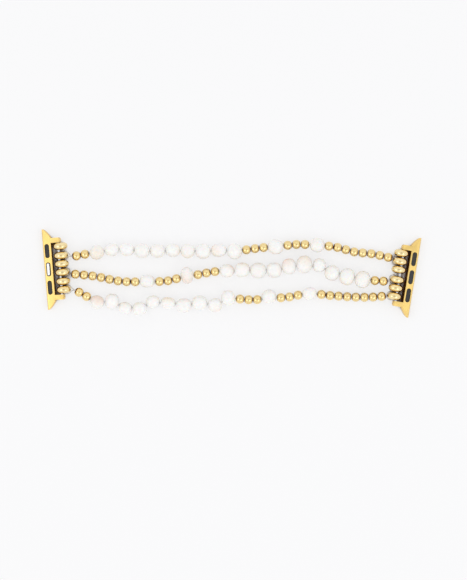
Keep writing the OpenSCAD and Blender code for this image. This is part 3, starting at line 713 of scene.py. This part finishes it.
for side, name in enumerate(SIDES):
    eased_copy(f"{name}_lug", f"{name}_satin_lug", lug_gold, f"{name}_lug",
               width=0.16, tint=wall_painted_shade(side), flush=f"{name}_lug_ears")
    eased_copy(f"{name}_friction_pads", f"{name}_rubber_pads", pad_rubber,
               f"{name}_lug", width=0.18)
    eased_copy(f"{name}_lock_housing", f"{name}_lock_insert", housing_plastic,
               f"{name}_lug", width=0.04, segments=2)
    eased_copy(f"{name}_lock_button", f"{name}_lock_catch", button_steel,
               f"{name}_lock_button", width=0.08)
    eased_copy(f"{name}_pin", f"{name}_steel_pin", pin_steel, f"{name}_pin", width=0.08)
    spring = eased_copy(f"{name}_lock_spring", f"{name}_leaf_spring", spring_steel,
                        f"{name}_lug", width=0)
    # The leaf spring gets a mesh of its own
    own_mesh(spring)

# ---------------------------------------------------------------- table, light and camera
BACKDROP = (0.955, 0.955, 0.96, 1)
# The table's tone, and the painted shade, a dark brown, that its colour takes in narrow slots beside
# the lug ends
TABLE_TONE, SLOT_PAINTED_SHADE = (0.955, 0.955, 0.965), (0.20, 0.11, 0.05)
# Metres: how far a slot is looked for, where the lug ends begin, and over what length it fades in
SLOT_REACH, LUG_ENDS_FROM, FADE_IN = 0.003, 0.065, 0.0025
PLAIN_SHARE = 0.72


def studio_floor():
    """A pale matt table, which takes the strap's soft shadows. The camera sees its open parts partly as
    plain white, so the shadows are faint; in the narrow slots beside the lug ends its colour turns to
    painted shade, a dark brown, and the camera sees no plain white there."""
    finish = bpy.data.materials.new("studio table")
    finish.use_nodes = True
    nodes, links = finish.node_tree.nodes, finish.node_tree.links
    nodes.clear()
    lit, plain, both, slots, path, where, split = (nodes.new("ShaderNode" + kind) for kind in (
        "BsdfDiffuse", "Emission", "MixShader", "AmbientOcclusion", "LightPath", "TexCoord",
        "SeparateXYZ"))
    plain.inputs["Color"].default_value = BACKDROP
    slots.inputs["Distance"].default_value = SLOT_REACH
    links.new(where.outputs["Object"], split.inputs[0])

    def math_node(kind, a, b=0.0):
        node = nodes.new("ShaderNodeMath")
        node.operation = kind
        for socket, value in zip(node.inputs, (a, b)):
            if isinstance(value, float):
                socket.default_value = value
            else:
                links.new(value, socket)
        return node.outputs[0]

    # How closed in the table is, counted only beside the lug ends
    beside = math_node("SUBTRACT", math_node("ABSOLUTE", split.outputs["X"]), LUG_ENDS_FROM)
    faded = math_node("MULTIPLY", beside, 1 / FADE_IN)
    near_lug = add_ramp(nodes, links, faded, 0.0, 1.0, start=0.0, end=1.0)
    closed = math_node("MULTIPLY", math_node("SUBTRACT", 1.0, slots.outputs["AO"]), near_lug)
    # Painted shade: the table's colour turns dark brown where it is closed in beside the lug ends
    tone = add_ramp(nodes, links, closed, TABLE_TONE, SLOT_PAINTED_SHADE, start=0.4, end=0.72)
    links.new(tone, lit.inputs["Color"])
    plain_part = add_ramp(nodes, links, closed, PLAIN_SHARE, 0.0, start=0.4, end=0.65)
    links.new(math_node("MULTIPLY", plain_part, path.outputs["Is Camera Ray"]), both.inputs[0])
    links.new(lit.outputs[0], both.inputs[1])
    links.new(plain.outputs[0], both.inputs[2])
    links.new(both.outputs[0], nodes.new("ShaderNodeOutputMaterial").inputs["Surface"])
    return finish


TABLE_HALF, TABLE_Z = 2.5, -2e-5
corners = [(x * TABLE_HALF, y * TABLE_HALF, TABLE_Z) for x, y in ((-1, -1), (1, -1), (1, 1), (-1, 1))]
floor_mesh = bpy.data.meshes.new("table")
floor_mesh.from_pydata(corners, [], [(0, 1, 2, 3)])
table = bpy.data.objects.new("table", floor_mesh)
bpy.context.scene.collection.objects.link(table)
floor_mesh.materials.append(studio_floor())

world = bpy.data.worlds.new("studio")
bpy.context.scene.world = world
world.use_nodes = True
nodes, links = world.node_tree.nodes, world.node_tree.links
nodes.clear()
direction, split = nodes.new("ShaderNodeTexCoord"), nodes.new("ShaderNodeSeparateXYZ")
sky = nodes.new("ShaderNodeValToRGB")
links.new(direction.outputs["Generated"], split.inputs[0])
links.new(split.outputs["Z"], sky.inputs["Fac"])
# A plain white room, a little dimmer at the horizon and straight up, where the photographer stands
for position, value in [(0.0, 0.7), (0.2, 0.85), (0.45, 0.96), (0.9, 0.96), (0.95, 0.8), (0.975, 0.6)]:
    element = sky.color_ramp.elements.new(position)
    element.color = (value, value, value * 1.01, 1)
sky.color_ramp.elements.remove(sky.color_ramp.elements[0])
sky.color_ramp.elements.remove(sky.color_ramp.elements[-1])
room, backdrop = nodes.new("ShaderNodeBackground"), nodes.new("ShaderNodeBackground")
backdrop.inputs["Color"].default_value = BACKDROP
links.new(sky.outputs["Color"], room.inputs["Color"])
path, mix = nodes.new("ShaderNodeLightPath"), nodes.new("ShaderNodeMixShader")
links.new(path.outputs["Is Camera Ray"], mix.inputs[0])
links.new(room.outputs[0], mix.inputs[1])
links.new(backdrop.outputs[0], mix.inputs[2])
links.new(mix.outputs[0], nodes.new("ShaderNodeOutputWorld").inputs["Surface"])


def softbox(name, place, size, brightness):
    """A square soft lamp that faces the middle of the strap. Its power is its brightness times pi
    times its area."""
    lamp = bpy.data.lights.new(name, "AREA")
    lamp.shape, lamp.size, lamp.energy = "SQUARE", size, brightness * math.pi * size ** 2
    obj = bpy.data.objects.new(name, lamp)
    bpy.context.scene.collection.objects.link(obj)
    obj.location = place
    obj.rotation_euler = (-obj.location).to_track_quat("-Z", "Y").to_euler()


softbox("softbox on the left", (-0.66, -0.2, 0.72), 0.36, 1.5)
softbox("softbox on the right", (0.5, -0.45, 0.74), 0.36, 1.9)

# Metres: the middle and the height of the camera's view, and its distance from the plane at STRAP_Z
VIEW_MIDDLE, VIEW_HEIGHT, DISTANCE, STRAP_Z = (0.000837, -0.00695), 0.2463, 2.0, 0.003
SENSOR = 36
camera_data = bpy.data.cameras.new("camera")
camera = bpy.data.objects.new("camera", camera_data)
bpy.context.scene.collection.objects.link(camera)
bpy.context.scene.camera = camera
camera.location = (*VIEW_MIDDLE, DISTANCE + STRAP_Z)
camera_data.sensor_width = SENSOR
camera_data.lens = SENSOR * DISTANCE / VIEW_HEIGHT
camera_data.clip_start, camera_data.clip_end = 0.05, 10
bpy.context.scene.view_settings.view_transform = "Standard"
